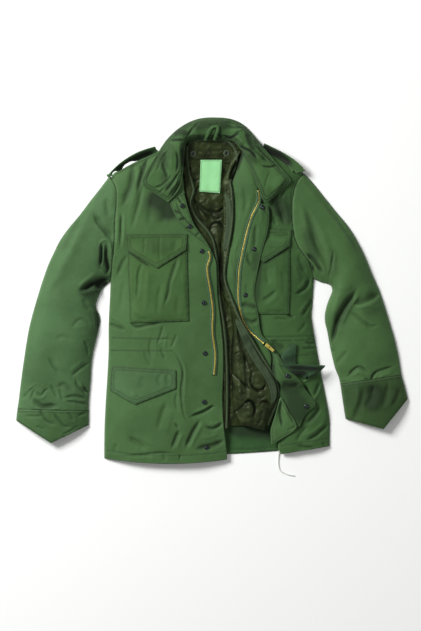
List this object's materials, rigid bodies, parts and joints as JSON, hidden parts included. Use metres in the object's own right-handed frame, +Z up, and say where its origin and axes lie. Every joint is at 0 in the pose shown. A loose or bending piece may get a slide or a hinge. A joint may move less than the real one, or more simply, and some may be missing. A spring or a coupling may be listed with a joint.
{
  "type": "field jacket",
  "caption": "Field jacket laid open on its back, with flap pockets, brass zip, snapped fly, pointed cuffs, epaulettes and a quilted liner buttoned inside.",
  "frame": {"origin": "on the surface the jacket lies on, under the centre of its outline", "axes": "+X to the wearer's left, +Y to the collar, +Z up from the surface, out of the jacket's front"},
  "size_m": [0.978, 0.8967, 0.0438],
  "materials": {
    "shell_cloth": "olive green cotton and nylon sateen",
    "liner_cloth": "brown olive quilted nylon",
    "label_cloth": "pale green woven label, bare",
    "zip_tape": "woven cotton tape",
    "brass": "bright brass",
    "snap_metal": "dark painted brass",
    "cord": "pale braided cord"
  },
  "bodies": {
    "jacket": {"back": "shell_cloth", "front_right": "shell_cloth", "front_left": "shell_cloth", "facing_left": "shell_cloth", "fly_flap_left": "shell_cloth", "fly_fold_left": "shell_cloth", "hem_corner_left": "shell_cloth", "lapel_right": "shell_cloth", "sleeve_right": "shell_cloth", "sleeve_left": "shell_cloth", "cuff_right": "shell_cloth", "cuff_left": "shell_cloth", "collar": "shell_cloth", "hanger_loop": "shell_cloth", "label": "label_cloth", "epaulette_right": "shell_cloth", "epaulette_left": "shell_cloth", "chest_pocket_right": "shell_cloth", "chest_pocket_left": "shell_cloth", "chest_flap_right": "shell_cloth", "chest_flap_left": "shell_cloth", "lower_flap_right": "shell_cloth", "lower_flap_left": "shell_cloth", "liner_back": "liner_cloth", "liner_front_right": "liner_cloth", "liner_front_left": "liner_cloth", "zip_tape_right": "zip_tape", "zip_tape_left": "zip_tape", "zip_chain_right": "brass", "zip_chain_left": "brass", "zip_slider": "brass", "snap_right_1": "snap_metal", "snap_right_2": "snap_metal", "snap_right_3": "snap_metal", "snap_right_4": "snap_metal", "snap_right_5": "snap_metal", "snap_right_6": "snap_metal", "snap_right_7": "snap_metal", "snap_left_1": "snap_metal", "snap_left_2": "snap_metal", "snap_left_3": "snap_metal", "snap_left_4": "snap_metal", "snap_left_5": "snap_metal", "neck_snap_1": "snap_metal", "neck_snap_2": "snap_metal", "hem_cord": "cord"},
    "pull_tab": {"zip_pull": "brass"}
  },
  "joints": [
    {"name": "pull_tab_hinge", "type": "hinge", "parent": "jacket", "child": "pull_tab", "pos_m": [0.138, -0.138, 0.03909], "axis": [-0.6428, -0.766, 0], "range_deg": [0, 185]}
  ]
}
